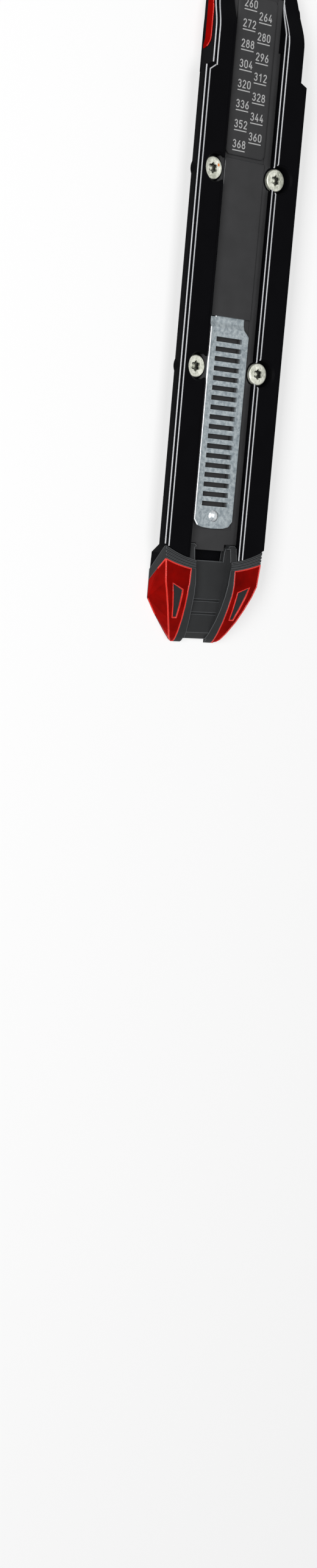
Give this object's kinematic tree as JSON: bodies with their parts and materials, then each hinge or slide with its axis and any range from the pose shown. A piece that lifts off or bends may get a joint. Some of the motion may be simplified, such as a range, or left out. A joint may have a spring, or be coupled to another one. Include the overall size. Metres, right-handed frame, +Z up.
{
  "type": "ski binding heel track",
  "caption": "Flanged heel track for a system ski binding, with a slotted steel rack, sole-length scale, mounting screws and a tail cap with red lenses.",
  "frame": {"origin": "centre of the four-screw pattern on the plane of the ski's top face", "axes": "+X forward along the track, +Y to the left, +Z up away from the ski"},
  "size_m": [0.279, 0.0526, 0.02],
  "materials": {
    "black_plastic": "satin black glass-filled nylon with shiny edges",
    "grey_plastic": "matt dark grey moulding",
    "cap_plastic": "fine-grained dark grey moulding",
    "pad_plastic": "matt dark grey",
    "zinc_steel": "mottled blue-white zinc plating",
    "rivet_steel": "zinc-plated dome",
    "screw_steel": "pale yellow-green zinc plating",
    "red_lens": "clear red polycarbonate, polished"
  },
  "bodies": {
    "track": {"track_body": "black_plastic", "channel_liner": "grey_plastic", "scale_plate": "grey_plastic", "channel_cover": "grey_plastic", "rack_strip": "zinc_steel", "rack_rivet": "rivet_steel", "mounting_screws": "screw_steel", "side_insert_left": "red_lens", "side_insert_right": "red_lens"},
    "tail_cap": {"cap_core": "cap_plastic", "tail_lens_left": "red_lens", "tail_lens_right": "red_lens", "lens_pad_left": "pad_plastic", "lens_pad_right": "pad_plastic"}
  },
  "joints": [
    {"name": "cap_pull_off", "type": "slide", "parent": "track", "child": "tail_cap", "axis": [-1, 0, 0], "range_m": [0, 0.04]}
  ]
}
